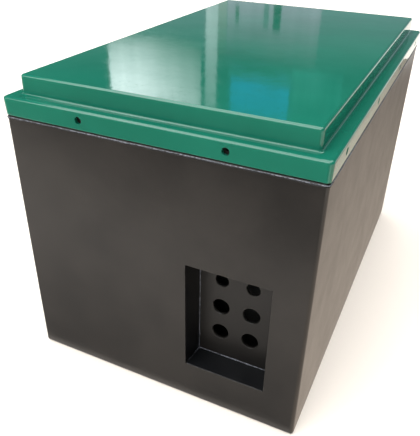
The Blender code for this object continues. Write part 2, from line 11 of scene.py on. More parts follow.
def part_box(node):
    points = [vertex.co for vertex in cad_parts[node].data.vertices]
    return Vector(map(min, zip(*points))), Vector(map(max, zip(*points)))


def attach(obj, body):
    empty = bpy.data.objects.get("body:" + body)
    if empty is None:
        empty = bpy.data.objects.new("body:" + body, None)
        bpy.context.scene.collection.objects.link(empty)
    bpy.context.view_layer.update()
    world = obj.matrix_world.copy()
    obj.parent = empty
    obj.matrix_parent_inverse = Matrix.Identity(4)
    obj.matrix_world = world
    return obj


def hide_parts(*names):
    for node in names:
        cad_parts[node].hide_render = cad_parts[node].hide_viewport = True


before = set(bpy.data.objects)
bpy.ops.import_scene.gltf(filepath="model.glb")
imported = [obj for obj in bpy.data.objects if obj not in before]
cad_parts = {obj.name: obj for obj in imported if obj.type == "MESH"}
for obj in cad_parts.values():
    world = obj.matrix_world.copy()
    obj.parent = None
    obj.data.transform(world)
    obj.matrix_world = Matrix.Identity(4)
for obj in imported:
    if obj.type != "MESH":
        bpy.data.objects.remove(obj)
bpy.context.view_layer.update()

# Tub: its walls, its roundings and the stepped rim that the lid's skirt goes over
WALL = 0.004
BODY_CORNER = 0.0038
BASE_FILLET = 0.0042
FLOOR_FILLET = 0.003
SHOULDER_Z = 0.318
SHOULDER_ROUND = 0.0028
RIM_INSET = 0.0038
RIM_ROUND = 0.0008
JOGGLE_DROP = 0.006

# Lid: skirt, ledge and raised panel
LID_WALL = 0.0035
SKIRT_FLARE = 0.0007
SKIRT_HEIGHT = 0.020
LEDGE_ROUND = 0.0032
PANEL_INSET = 0.0133
PANEL_CORNER = 0.004
PANEL_DRAFT = 0.0004
PANEL_ROUND = 0.003
PANEL_FOOT_ROUND = 0.0025
CEILING_ROUND = 0.002

# Screw holes through the skirt and the rim
LID_HOLE_RADIUS = 0.004
RIM_HOLE_RADIUS = 0.00165
HOLE_ABOVE_SKIRT = 0.010

# Entry recess and the drilled plate at its back, whose rows run from the lowest up
FRONT_FLANGE = 0.015
REAR_FLANGE = 0.013
POCKET_WALL = 0.003
POCKET_CORNER = 0.0020
POCKET_DRAFT = 0.0005
POCKET_SIDE_DRAFT = 0.003
PLATE_CORNER = 0.0145
ENTRY_PITCH = 0.0365
ENTRY_ROW_RADII = (0.0099, 0.0100, 0.0077)
ENTRY_MIDDLE_Z = 0.1258

# Lines along the shoulder: a bead of resin, and below it a dark line that paints the shade under the lid's
# skirt
BEAD_Z = 0.3166
BEAD_RADIUS = 0.0007
SHADE_LINE_Z = 0.3153
SHADE_LINE_RADIUS = 0.0006
BEAD_STEP = 0.0012

# Bait rods, and the blocks cast to fit round them
ROD_RADIUS = 0.003
BLOCK_CORNER = 0.005
GROOVE_DEPTH = 0.0011
HOLE_CLEARANCE = 0.001

# The gap between touching pieces, the tightest corner, and how finely the large meshes are split
GAP = 0.0003
SMALLEST_CORNER = 0.001
CORNER_STEPS = 8
EDGE_STEP = 0.009


# ---- meshes

def quarter_turn(start, end, leaves, steps=8):
    """Points on a quarter ellipse from start to end, leaving start either "level" or "upright"."""
    points = []
    for step in range(steps + 1):
        angle = step / steps * pi / 2
        fast, slow = sin(angle), 1 - cos(angle)
        across, up = (fast, slow) if leaves == "level" else (slow, fast)
        points.append((start[0] + (end[0] - start[0]) * across, start[1] + (end[1] - start[1]) * up))
    return points


def rounded_ring(half_x, half_y, radius, z, sides_x=1, sides_y=1, steps=CORNER_STEPS):
    """An anticlockwise ring round a rectangle with rounded corners, its straight sides in equal parts."""
    ring = []
    for quarter, (side_x, side_y) in enumerate(((1, 1), (-1, 1), (-1, -1), (1, -1))):
        centre = Vector((side_x * (half_x - radius), side_y * (half_y - radius), z))
        for step in range(steps + 1):
            angle = (quarter + step / steps) * pi / 2
            ring.append(centre + Vector((radius * cos(angle), radius * sin(angle), 0)))
        along_x = quarter % 2 == 0
        parts = sides_x if along_x else sides_y
        following = ring[-1].copy()
        if along_x:
            following.x = -side_x * (half_x - radius)
        else:
            following.y = -side_y * (half_y - radius)
        ring.extend(ring[-1].lerp(following, part / parts) for part in range(1, parts))
    return ring


def inset_rings(half_x, half_y, corner, profile, sides_x=1, sides_y=1):
    """A ring for each (inset, z) of the profile; a corner tightens as its ring goes in."""
    rings = []
    for inset, z in profile:
        radius = max(corner - inset, SMALLEST_CORNER)
        rings.append(rounded_ring(half_x - inset, half_y - inset, radius, z, sides_x, sides_y))
    return rings


def skin(rings, name, closed=False):
    """A mesh over rings of equal count: capped at both ends, or closed back onto the first ring."""
    bm = bmesh.new()
    loops = [[bm.verts.new(point) for point in ring] for ring in rings]
    bands = list(zip(loops, loops[1:]))
    if closed:
        bands.append((loops[-1], loops[0]))
    else:
        bm.faces.new(list(reversed(loops[0])))
        bm.faces.new(loops[-1])
    for lower, upper in bands:
        for i, corner in enumerate(lower):
            j = (i + 1) % len(lower)
            bm.faces.new((corner, lower[j], upper[j], upper[i]))
    mesh = bpy.data.meshes.new(name)
    bm.to_mesh(mesh)
    bm.free()
    return mesh


def add_cylinder(bm, centre, axis, radius, length, sides, far_radius=None):
    """A cylinder along axis, or a cone when its end along axis has another radius."""
    turn = Vector((0, 0, 1)).rotation_difference(Vector(axis)).to_matrix().to_4x4()
    bmesh.ops.create_cone(
        bm,
        cap_ends=True,
        segments=sides,
        radius1=radius,
        radius2=radius if far_radius is None else far_radius,
        depth=length,
        matrix=Matrix.Translation(centre) @ turn,
    )


def add_box(bm, low, high):
    """A closed box between two opposite corners."""
    size = Vector(high) - Vector(low)
    centre = (Vector(high) + Vector(low)) / 2
    bmesh.ops.create_cube(bm, size=1, matrix=Matrix.Translation(centre) @ Matrix.Diagonal((*size, 1)))


def new_piece(name, mesh, material):
    """A linked object for the mesh, with the material as its only one."""
    piece = bpy.data.objects.new(name, mesh)
    bpy.context.scene.collection.objects.link(piece)
    mesh.materials.clear()
    mesh.materials.append(material)
    return piece


def settle(piece, angle=32):
    """Smooth shading with hard edges kept, and normals that follow the larger faces."""
    piece.data.shade_smooth()
    piece.data.set_sharp_from_angle(angle=radians(angle))
    weighted = piece.modifiers.new("weighted_normals", "WEIGHTED_NORMAL")
    weighted.keep_sharp = True


def apply_modifiers(piece):
    """Turns the piece's mesh into what its modifiers make of it."""
    graph = bpy.context.evaluated_depsgraph_get()
    made = bpy.data.meshes.new_from_object(piece.evaluated_get(graph), depsgraph=graph)
    old = piece.data
    piece.modifiers.clear()
    piece.data = made
    made.name = old.name
    bpy.data.meshes.remove(old)


def cut(piece, bm):
    """Takes the closed shapes in bm out of the piece, for good."""
    mesh = bpy.data.meshes.new(piece.name + "_cutter")
    bm.to_mesh(mesh)
    bm.free()
    cutter = bpy.data.objects.new(mesh.name, mesh)
    bpy.context.scene.collection.objects.link(cutter)
    modifier = piece.modifiers.new("cut", "BOOLEAN")
    modifier.operation = "DIFFERENCE"
    modifier.solver = "EXACT"
    modifier.object = cutter
    apply_modifiers(piece)
    bpy.data.objects.remove(cutter)
    bpy.data.meshes.remove(mesh)


def ripple(mesh, depth, scale, weight, seed=0.0):
    """Moves each point along its normal by smooth noise: about depth metres times its weight."""
    fading, lacunarity, octaves = 0.8, 2.0, 3
    offsets = []
    for vertex in mesh.vertices:
        place = vertex.co * scale + Vector((seed, seed, seed))
        value = noise.fractal(place, fading, lacunarity, octaves)
        offsets.append(vertex.normal * (value * depth * weight(vertex.co)))
    for vertex, offset in zip(mesh.vertices, offsets):
        vertex.co += offset


def new_tube(name, points, widths, radius, material, resolution=3, closed=False):
    """A round tube through the points; each width is a share of the radius there."""
    curve = bpy.data.curves.new(name, "CURVE")
    curve.dimensions = "3D"
    curve.bevel_depth = radius
    curve.bevel_resolution = resolution
    curve.use_fill_caps = not closed
    spline = curve.splines.new("POLY")
    spline.points.add(len(points) - 1)
    spline.use_cyclic_u = closed
    for point, place, width in zip(spline.points, points, widths):
        point.co = (*place, 1)
        point.radius = width
    curve.materials.append(material)
    tube = bpy.data.objects.new(name, curve)
    bpy.context.scene.collection.objects.link(tube)
    return tube


def refined(node, name, material, bevel):
    """A copy of a CAD node with flat faces joined up and its edges rounded."""
    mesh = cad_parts[node].data.copy()
    mesh.name = name
    bm = bmesh.new()
    bm.from_mesh(mesh)
    bmesh.ops.remove_doubles(bm, verts=bm.verts, dist=1e-6)
    bmesh.ops.dissolve_limit(
        bm,
        angle_limit=radians(1),
        use_dissolve_boundaries=False,
        verts=bm.verts,
        edges=bm.edges,
    )
    bm.to_mesh(mesh)
    bm.free()
    piece = new_piece(name, mesh, material)
    modifier = piece.modifiers.new("edges", "BEVEL")
    modifier.width = bevel
    modifier.segments = 2
    modifier.limit_method = "ANGLE"
    modifier.angle_limit = radians(40)
    modifier.use_clamp_overlap = True
    apply_modifiers(piece)
    settle(piece)
    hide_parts(node)
    return piece


# ---- materials

class Nodes:
    """A material's node tree with short calls for the few node kinds that the finishes share."""

    def __init__(self, name):
        self.material = bpy.data.materials.new(name)
        self.material.use_nodes = True
        self.tree = self.material.node_tree
        self.shader = self.tree.nodes["Principled BSDF"]
        self.coords = self.tree.nodes.new("ShaderNodeTexCoord").outputs["Object"]

    def link(self, output, target):
        """Connects an output to an input socket."""
        self.tree.links.new(output, target)

    def noise(self, scale, detail=4.0, roughness=0.55, stretch=None):
        """Fractal noise with about that many features a metre, times the stretch along each axis."""
        node = self.tree.nodes.new("ShaderNodeTexNoise")
        node.inputs["Scale"].default_value = scale
        node.inputs["Detail"].default_value = detail
        node.inputs["Roughness"].default_value = roughness
        self.link(self.stretched(stretch), node.inputs["Vector"])
        return node.outputs["Fac"]

    def stretched(self, stretch):
        """Object coordinates, scaled along each axis where a stretch is given."""
        if stretch is None:
            return self.coords
        mapping = self.tree.nodes.new("ShaderNodeMapping")
        mapping.inputs["Scale"].default_value = stretch
        self.link(self.coords, mapping.inputs["Vector"])
        return mapping.outputs["Vector"]

    def cells(self, scale):
        """Distance to the nearest of scattered points, about that many a metre."""
        node = self.tree.nodes.new("ShaderNodeTexVoronoi")
        node.inputs["Scale"].default_value = scale
        self.link(self.coords, node.inputs["Vector"])
        return node.outputs["Distance"]

    def ramp(self, value, low, high, start=0.0, end=1.0):
        """The value from low..high turned into start..end, held at its ends."""
        node = self.tree.nodes.new("ShaderNodeMapRange")
        node.inputs["From Min"].default_value = low
        node.inputs["From Max"].default_value = high
        node.inputs["To Min"].default_value = start
        node.inputs["To Max"].default_value = end
        self.link(value, node.inputs["Value"])
        return node.outputs["Result"]

    def math(self, operation, a, b):
        """One sum or product of two outputs or numbers."""
        node = self.tree.nodes.new("ShaderNodeMath")
        node.operation = operation
        for socket, value in zip(node.inputs, (a, b)):
            if isinstance(value, (int, float)):
                socket.default_value = value
            else:
                self.link(value, socket)
        return node.outputs["Value"]

    def mix(self, factor, a, b):
        """Colour a where the factor is 0 and b where it is 1; each is a colour or an output."""
        node = self.tree.nodes.new("ShaderNodeMix")
        node.data_type = "RGBA"
        self.link(factor, node.inputs[0])
        for socket, value in ((node.inputs[6], a), (node.inputs[7], b)):
            if isinstance(value, tuple):
                socket.default_value = (*value, 1.0)
            else:
                self.link(value, socket)
        return node.outputs[2]

    def edges(self, radius):
        """1 along convex and concave edges within the radius, 0 on flat stretches."""
        bevel = self.tree.nodes.new("ShaderNodeBevel")
        bevel.samples = 6
        bevel.inputs["Radius"].default_value = radius
        plain = self.tree.nodes.new("ShaderNodeNewGeometry").outputs["Normal"]
        dot = self.tree.nodes.new("ShaderNodeVectorMath")
        dot.operation = "DOT_PRODUCT"
        self.link(bevel.outputs["Normal"], dot.inputs[0])
        self.link(plain, dot.inputs[1])
        level, turned = 0.995, 0.90
        return self.ramp(dot.outputs["Value"], level, turned)

    def bump(self, height, distance, strength, under=None):
        """A normal bent by the height, which stands for that distance in metres, over another normal."""
        node = self.tree.nodes.new("ShaderNodeBump")
        node.inputs["Distance"].default_value = distance
        node.inputs["Strength"].default_value = strength
        self.link(height, node.inputs["Height"])
        if under is not None:
            self.link(under, node.inputs["Normal"])
        return node.outputs["Normal"]

    def finish(self, colour=None, roughness=None, normal=None, metallic=0.0, **sockets):
        """Connects the outputs that vary over the surface and sets the values that don't."""
        shader = self.shader.inputs
        shader["Metallic"].default_value = metallic
        for output, socket in ((colour, "Base Color"), (roughness, "Roughness"), (normal, "Normal")):
            if output is not None:
                self.link(output, shader[socket])
        for name, value in sockets.items():
            shader[name.replace("_", " ")].default_value = value
        return self.material


def moulded_fibreglass(name, dark, light, worn):
    """Pigmented glass fibre: soft mottling, faint waves and dents, a fine grain, and paler rubbed edges."""
    n = Nodes(name)
    clouds = n.ramp(n.noise(12.0, 5.0, 0.6), 0.36, 0.64)
    grain = n.ramp(n.noise(900.0, 2.0, 0.6), 0.30, 0.70)
    colour = n.mix(n.math("MULTIPLY", clouds, n.ramp(grain, 0, 1, 0.55, 1.0)), dark, light)
    rubbed = n.math("MULTIPLY", n.edges(0.0012), n.ramp(n.noise(160.0, 4.0), 0.42, 0.62))
    colour = n.mix(n.math("MULTIPLY", rubbed, 0.55), colour, worn)
    scuffs = n.ramp(n.noise(26.0, 5.0, 0.6), 0.36, 0.66)
    roughness = n.ramp(scuffs, 0, 1, 0.33, 0.38)
    waves = n.bump(n.noise(7.0, 1.0), 0.0010, 0.12)
    dents = n.bump(n.noise(34.0, 4.0, 0.6), 0.0009, 0.07, under=waves)
    normal = n.bump(n.noise(620.0, 3.0, 0.65), 0.00022, 0.55, under=dents)
    return n.finish(colour, roughness, normal, IOR=1.50)


def gelcoat(name, deep, pale, worn):
    """Polished gelcoat: nearly even colour, faint waves from the fibres below, specks of dust."""
    n = Nodes(name)
    clouds = n.ramp(n.noise(7.0, 3.0), 0.36, 0.66)
    colour = n.mix(clouds, deep, pale)
    rubbed = n.math("MULTIPLY", n.edges(0.0010), n.ramp(n.noise(120.0, 4.0), 0.40, 0.66))
    colour = n.mix(n.math("MULTIPLY", rubbed, 0.35), colour, worn)
    dust = n.ramp(n.noise(260.0, 5.0, 0.7), 0.60, 0.72)
    swirls = n.ramp(n.noise(42.0, 5.0, 0.7), 0.42, 0.62, 0.05, 0.095)
    roughness = n.math("ADD", swirls, n.math("MULTIPLY", dust, 0.18))
    waves = n.bump(n.noise(11.0, 2.0, 0.4), 0.0012, 0.16)
    fibres = n.bump(n.noise(95.0, 4.0, 0.55), 0.00016, 0.22, under=waves)
    return n.finish(colour, roughness, fibres, IOR=1.54)


def resin(name):
    """A thin bead of laminating resin, glossy, and milky in places."""
    n = Nodes(name)
    clear, milky = (0.045, 0.047, 0.055), (0.17, 0.18, 0.21)
    colour = n.mix(n.ramp(n.noise(420.0, 4.0), 0.38, 0.62), clear, milky)
    normal = n.bump(n.noise(600.0, 3.0), 0.0003, 0.6)
    return n.finish(colour, None, normal, Roughness=0.18)


def closed_cell_foam(name):
    """Black foam with fine pores."""
    n = Nodes(name)
    pores = n.cells(1400.0)
    pit, wall = (0.012, 0.012, 0.013), (0.035, 0.035, 0.037)
    colour = n.mix(n.ramp(pores, 0.0, 0.5), pit, wall)
    return n.finish(colour, None, n.bump(pores, 0.0004, 0.8), Roughness=0.9)


def sheet_metal(name, colour, bright, rough, along):
    """Rolled or drawn metal: fine lines along one axis, cloudy oxide, brighter edges."""
    n = Nodes(name)
    lines = n.noise(60.0, 6.0, 0.7, stretch=tuple(0.04 if axis == along else 9.0 for axis in "XYZ"))
    clouds = n.ramp(n.noise(22.0, 4.0), 0.35, 0.65)
    tint = n.mix(n.math("MULTIPLY", clouds, 0.8), colour, tuple(value * 0.78 for value in colour))
    tint = n.mix(n.edges(0.0007), tint, bright)
    roughness = n.ramp(n.math("ADD", lines, clouds), 0.6, 1.4, *rough)
    return n.finish(tint, roughness, n.bump(lines, 0.0001, 0.35), metallic=1.0)


def zinc_plate(name):
    """Passivated zinc: a fine crystalline mottle with a faint yellow cast in places."""
    n = Nodes(name)
    silver, straw, bright = (0.56, 0.56, 0.55), (0.60, 0.52, 0.34), (0.74, 0.73, 0.71)
    cells = n.ramp(n.cells(700.0), 0.1, 0.6)
    cast = n.ramp(n.noise(90.0, 4.0), 0.45, 0.65)
    colour = n.mix(cast, silver, straw)
    colour = n.mix(n.edges(0.0006), colour, bright)
    roughness = n.ramp(cells, 0, 1, 0.26, 0.48)
    return n.finish(colour, roughness, n.bump(cells, 0.00012, 0.4), metallic=1.0)


def bait_wax(name):
    """Coloured paraffin with crushed grain in it: pale flakes and dark specks."""
    n = Nodes(name)
    deep_wax, pale_wax = (0.010, 0.165, 0.180), (0.030, 0.270, 0.260)
    grain, husk = (0.42, 0.36, 0.20), (0.035, 0.030, 0.018)
    flakes = n.ramp(n.cells(330.0), 0.16, 0.26)
    specks = n.ramp(n.noise(540.0, 3.0, 0.6), 0.63, 0.68)
    colour = n.mix(n.ramp(n.noise(60.0, 4.0), 0.35, 0.65), deep_wax, pale_wax)
    colour = n.mix(n.ramp(flakes, 0, 1, 0.55, 0.0), colour, grain)
    colour = n.mix(n.math("MULTIPLY", specks, 0.8), colour, husk)
    normal = n.bump(flakes, 0.0008, 0.5)
    normal = n.bump(n.noise(180.0, 5.0), 0.0010, 0.5, under=normal)
    roughness = n.ramp(n.noise(120.0, 3.0), 0.3, 0.7, 0.38, 0.62)
    return n.finish(colour, roughness, normal, Subsurface_Weight=0.12, Subsurface_Scale=0.004)


def polypropylene(name):
    """Black moulded plastic with a fine spark texture and pale scratches."""
    n = Nodes(name)
    black, scratched, rubbed = (0.018, 0.018, 0.019), (0.075, 0.075, 0.075), (0.06, 0.06, 0.062)
    scratches = n.ramp(n.noise(70.0, 6.0, 0.75, stretch=(6.0, 0.5, 1.0)), 0.60, 0.66)
    colour = n.mix(n.math("MULTIPLY", scratches, 0.5), black, scratched)
    colour = n.mix(n.math("MULTIPLY", n.edges(0.0012), 0.4), colour, rubbed)
    grain = n.noise(1100.0, 2.0)
    return n.finish(colour, n.ramp(scratches, 0, 1, 0.42, 0.6), n.bump(grain, 0.0002, 0.6))


def studio_floor(name):
    """Pale paper that keeps its brightness far from the lights, so that no horizon shows."""
    n = Nodes(name)
    near, far = 0.8, 5.0
    near_glow, far_glow = 0.12, 1.0
    colour = n.mix(n.ramp(n.noise(1.3, 3.0), 0.3, 0.7), (0.82, 0.75, 0.67), (0.85, 0.78, 0.70))
    distance = n.tree.nodes.new("ShaderNodeVectorMath")
    distance.operation = "LENGTH"
    n.link(n.coords, distance.inputs[0])
    glow = n.ramp(distance.outputs["Value"], near, far, near_glow, far_glow)
    n.link(glow, n.shader.inputs["Emission Strength"])
    return n.finish(colour, Roughness=0.65, Emission_Color=(1.0, 0.985, 0.965, 1.0))


MATERIALS = {
    "grey_fibreglass": moulded_fibreglass(
        "grey_fibreglass", (0.0086, 0.0072, 0.0061), (0.0190, 0.0161, 0.0137), (0.075, 0.068, 0.060)
    ),
    # A darker copy of the box's fibreglass: on the drilled plate at the recess's back its darkness is painted
    # shade; the inner channel and rails use it too
    "dark_fibreglass": moulded_fibreglass(
        "dark_fibreglass", (0.0062, 0.0055, 0.0049), (0.0102, 0.0091, 0.0082), (0.060, 0.055, 0.050)
    ),
    # A darker, bluish copy of the box's fibreglass: painted shade, for the recess and for the line under the
    # lid's skirt
    "shade_black_fibreglass": moulded_fibreglass(
        "shade_black_fibreglass", (0.0016, 0.0019, 0.0025), (0.0034, 0.0039, 0.0048), (0.030, 0.031, 0.033)
    ),
    "green_gelcoat": gelcoat(
        "green_gelcoat", (0.0050, 0.110, 0.070), (0.0072, 0.129, 0.083), (0.11, 0.38, 0.28)
    ),
    "resin": resin("resin"),
    "seal_foam": closed_cell_foam("seal_foam"),
    "zinc_steel": zinc_plate("zinc_steel"),
    "bright_steel": sheet_metal(
        "bright_steel", (0.60, 0.59, 0.57), (0.75, 0.74, 0.72), (0.14, 0.30), "X"
    ),
    "spring_steel": sheet_metal(
        "spring_steel", (0.24, 0.24, 0.26), (0.45, 0.45, 0.46), (0.24, 0.42), "Y"
    ),
    "aluminium": sheet_metal(
        "aluminium", (0.66, 0.66, 0.67), (0.82, 0.82, 0.83), (0.38, 0.46), "Y"
    ),
    "bait_wax": bait_wax("bait_wax"),
    "tray_plastic": polypropylene("tray_plastic"),
}
FLOOR_MATERIAL = studio_floor("studio_floor")


# ---- where things are, from the frame

def half_sizes(node):
    """Half of a node's width and of its length."""
    low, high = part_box(node)
    return (high.x - low.x) / 2, (high.y - low.y) / 2


BODY_HALF_X, BODY_HALF_Y = half_sizes("body_shell")
RIM_TOP_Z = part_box("body_shell")[1].z
SKIRT_BOTTOM_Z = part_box("lid_shell")[0].z
PANEL_TOP_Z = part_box("lid_shell")[1].z
SKIRT_PROUD = half_sizes("lid_shell")[0] - BODY_HALF_X
LEDGE_Z = SKIRT_BOTTOM_Z + SKIRT_HEIGHT
HOLE_Z = SKIRT_BOTTOM_Z + HOLE_ABOVE_SKIRT
RIM_INNER_INSET = RIM_INSET + WALL
POCKET_LOW, POCKET_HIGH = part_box("entry_pocket")
OPENING_LOW = Vector((POCKET_LOW.x + FRONT_FLANGE, -BODY_HALF_Y, POCKET_LOW.z + FRONT_FLANGE))
OPENING_HIGH = Vector((POCKET_HIGH.x - FRONT_FLANGE, POCKET_HIGH.y, POCKET_HIGH.z - FRONT_FLANGE))


def screw_places():
    """(direction out of the box, a point on the rim's middle) of each lid screw, from the nut plates."""
    places = []
    for node in sorted(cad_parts):
        if not node.startswith("nut_plate"):
            continue
        low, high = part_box(node)
        centre = (low + high) / 2
        centre.z = HOLE_Z
        if "left" in node or "right" in node:
            out = Vector((1 if centre.x > 0 else -1, 0, 0))
            centre.x = out.x * (BODY_HALF_X - RIM_INSET - WALL / 2)
        else:
            out = Vector((0, 1 if centre.y > 0 else -1, 0))
            centre.y = out.y * (BODY_HALF_Y - RIM_INSET - WALL / 2)
        places.append((out, centre))
    return places


# ---- box and lid

def split_sides():
    """How many parts the box's short and long sides are split into."""
    return round(2 * BODY_HALF_X / EDGE_STEP), round(2 * BODY_HALF_Y / EDGE_STEP)


def levels(inset_from, z_from, inset_to, z_to, parts):
    """The points between two profile points, both left out."""
    return [
        (inset_from + (inset_to - inset_from) * i / parts, z_from + (z_to - z_from) * i / parts)
        for i in range(1, parts)
    ]


def make_body():
    """The tub, its walls faintly wavy and its shoulder a little lumpy, as hand-laid ones are."""
    base = quarter_turn((BASE_FILLET, 0), (0, BASE_FILLET), "level", steps=7)
    walls = levels(0, BASE_FILLET, 0, SHOULDER_Z - SHOULDER_ROUND, 24)
    shoulder = quarter_turn(
        (0, SHOULDER_Z - SHOULDER_ROUND), (SHOULDER_ROUND, SHOULDER_Z), "upright", steps=6
    )
    ease = RIM_ROUND * 0.3
    rim = [
        (RIM_INSET, SHOULDER_Z),
        (RIM_INSET, RIM_TOP_Z - RIM_ROUND),
        (RIM_INSET + ease, RIM_TOP_Z - ease),
        (RIM_INSET + RIM_ROUND, RIM_TOP_Z),
        (RIM_INNER_INSET - RIM_ROUND, RIM_TOP_Z),
        (RIM_INNER_INSET - ease, RIM_TOP_Z - ease),
        (RIM_INNER_INSET, RIM_TOP_Z - RIM_ROUND),
        (RIM_INNER_INSET, SHOULDER_Z - WALL / 2),
        (WALL, SHOULDER_Z - WALL / 2 - JOGGLE_DROP),
    ]
    floor = quarter_turn((WALL, WALL + FLOOR_FILLET), (WALL + FLOOR_FILLET, WALL), "upright", steps=5)
    profile = base + walls + shoulder + rim + floor
    rings = inset_rings(BODY_HALF_X, BODY_HALF_Y, BODY_CORNER, profile, *split_sides())
    piece = new_piece("moulded_box", skin(rings, "moulded_box"), MATERIALS["grey_fibreglass"])
    still_z = 0.02
    growth = 20
    shoulder_reach = 0.004

    def on_walls(point):
        """0 at the foot, so that the base stays flat, rising to 1 on the walls and 0 from the shoulder up."""
        return min(1, max(0, point.z - still_z) * growth) * (point.z < SHOULDER_Z - shoulder_reach)

    def on_shoulder(point):
        return 1.0 * (abs(point.z - SHOULDER_Z) < shoulder_reach / 2)

    ripple(piece.data, depth=0.00005, scale=6.0, weight=on_walls)
    ripple(piece.data, depth=0.00016, scale=150.0, weight=on_shoulder, seed=3.0)
    opening = bmesh.new()
    add_box(
        opening,
        (OPENING_LOW.x, -BODY_HALF_Y - WALL, OPENING_LOW.z),
        (OPENING_HIGH.x, -BODY_HALF_Y + 2 * WALL, OPENING_HIGH.z),
    )
    cut(piece, opening)
    holes = bmesh.new()
    for out, centre in screw_places():
        add_cylinder(holes, centre, out, RIM_HOLE_RADIUS, 2 * WALL, sides=20)
    cut(piece, holes)
    settle(piece)
    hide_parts("body_shell")
    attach(piece, "station")


def make_lid():
    """The lid with soft moulded edges: ceiling, skirt, ledge and raised panel in one shell."""
    wall_inset = PANEL_INSET + LID_WALL
    ceiling_z = PANEL_TOP_Z - LID_WALL
    under_ledge_z = LEDGE_Z - LID_WALL
    low_proud = SKIRT_PROUD - SKIRT_FLARE
    skirt_inner = LID_WALL - low_proud
    panel = quarter_turn(
        (wall_inset + CEILING_ROUND, ceiling_z), (wall_inset, ceiling_z - CEILING_ROUND), "level", steps=4
    )
    panel.append((wall_inset, under_ledge_z))
    edge, ease = 0.0007, 0.0002
    skirt = [
        (skirt_inner, under_ledge_z),
        (skirt_inner, SKIRT_BOTTOM_Z),
        (-low_proud + edge, SKIRT_BOTTOM_Z),
        (-low_proud + ease, SKIRT_BOTTOM_Z + ease),
        (-low_proud, SKIRT_BOTTOM_Z + edge),
    ]
    skirt += levels(-low_proud, SKIRT_BOTTOM_Z, -SKIRT_PROUD, LEDGE_Z - LEDGE_ROUND, 3)
    skirt += quarter_turn(
        (-SKIRT_PROUD, LEDGE_Z - LEDGE_ROUND), (-SKIRT_PROUD + LEDGE_ROUND, LEDGE_Z), "upright"
    )
    foot = (PANEL_INSET, LEDGE_Z + PANEL_FOOT_ROUND)
    brow = (PANEL_INSET + PANEL_DRAFT, PANEL_TOP_Z - PANEL_ROUND)
    rise = quarter_turn((PANEL_INSET - PANEL_FOOT_ROUND, LEDGE_Z), foot, "level")
    rise += levels(*foot, *brow, 4)
    rise += quarter_turn(brow, (PANEL_INSET + PANEL_DRAFT + PANEL_ROUND, PANEL_TOP_Z), "upright")
    panel_corner = PANEL_INSET + PANEL_CORNER
    sides = split_sides()
    rings = inset_rings(BODY_HALF_X, BODY_HALF_Y, panel_corner, panel, *sides)
    rings += inset_rings(BODY_HALF_X, BODY_HALF_Y, BODY_CORNER, skirt, *sides)
    rings += inset_rings(BODY_HALF_X, BODY_HALF_Y, panel_corner, rise, *sides)
    piece = new_piece("moulded_lid", skin(rings, "moulded_lid"), MATERIALS["green_gelcoat"])

    def below_the_top(point):
        return 1.0 * (point.z < PANEL_TOP_Z - ease)

    ripple(piece.data, depth=0.00016, scale=26.0, weight=below_the_top, seed=7.0)
    holes = bmesh.new()
    for out, centre in screw_places():
        face = centre + out * (RIM_INSET + WALL / 2 + low_proud)
        add_cylinder(holes, face - out * LID_WALL / 2, out, LID_HOLE_RADIUS, 3 * LID_WALL, sides=28)
    cut(piece, holes)
    settle(piece)
    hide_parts("lid_shell")
    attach(piece, "lid")


# ---- entry recess

def make_pocket():
    """The recess in one skin, with rounded corners: its walls run forward through the opening in the box."""
    half_x = (OPENING_HIGH.x - OPENING_LOW.x) / 2
    half_z = (OPENING_HIGH.z - OPENING_LOW.z) / 2
    back_x = half_x - POCKET_SIDE_DRAFT
    back_z = half_z - POCKET_DRAFT
    depth = POCKET_HIGH.y + BODY_HALF_Y
    flange = WALL + GAP
    outside = [
        (-REAR_FLANGE, -depth),
        (-REAR_FLANGE, -depth + POCKET_WALL),
        (-POCKET_WALL, -depth + POCKET_WALL),
    ]
    # The mouth's last points are a rolled lip, a hair behind the front wall's face
    lip = 0.0002
    mouth = [
        (-POCKET_WALL, -flange - POCKET_WALL),
        (-FRONT_FLANGE, -flange - POCKET_WALL),
        (-FRONT_FLANGE, -flange),
        (-lip, -flange),
        (-lip, -0.0006),
        (lip, -0.0003),
        (0.0005, -0.0007),
    ]
    rings = inset_rings(back_x, back_z, POCKET_CORNER, outside)
    rings += inset_rings(half_x, half_z, POCKET_CORNER, mouth)
    rings += inset_rings(back_x, back_z, POCKET_CORNER, [(GAP, -depth)])
    mesh = skin(rings, "recess_pocket", closed=True)
    centre = (OPENING_LOW + OPENING_HIGH) / 2
    mesh.transform(Matrix.Translation((centre.x, -BODY_HALF_Y, centre.z)) @ Matrix.Rotation(pi / 2, 4, "X"))
    # The recess is the box's own fibreglass; its near-black, bluish colour is painted shade in the recess
    piece = new_piece("recess_pocket", mesh, MATERIALS["shade_black_fibreglass"])
    settle(piece)
    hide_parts("entry_pocket")
    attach(piece, "station")


def make_entry_plate():
    """The drilled plate, its edge and the front of each hole eased."""
    low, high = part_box("entry_plate")
    half_x = (high.x - low.x) / 2
    half_z = (high.z - low.z) / 2
    thickness = high.y - low.y
    ease = 0.0004
    profile = [(ease, -thickness), (0, -thickness + ease), (0, -ease), (ease, 0)]
    mesh = skin(inset_rings(half_x, half_z, PLATE_CORNER, profile), "drilled_plate")
    centre = (low + high) / 2
    mesh.transform(Matrix.Translation((centre.x, low.y, centre.z)) @ Matrix.Rotation(pi / 2, 4, "X"))
    # The plate's darker fibreglass is painted shade at the back of the recess
    piece = new_piece("drilled_plate", mesh, MATERIALS["dark_fibreglass"])
    holes = bmesh.new()
    countersinks = bmesh.new()
    sink_length, sink_narrow, sink_wide = 0.002, 0.0004, 0.0016
    for row, radius in zip((-1, 0, 1), ENTRY_ROW_RADII):
        for column in (-0.5, 0.5):
            place = Vector((centre.x + column * ENTRY_PITCH, low.y, ENTRY_MIDDLE_Z + row * ENTRY_PITCH))
            add_cylinder(holes, place, (0, 1, 0), radius, 4 * thickness, sides=48)
            add_cylinder(
                countersinks,
                place,
                (0, -1, 0),
                radius - sink_narrow,
                sink_length,
                sides=48,
                far_radius=radius + sink_wide,
            )
    cut(piece, holes)
    cut(piece, countersinks)
    settle(piece)
    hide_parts("entry_plate")
    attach(piece, "station")


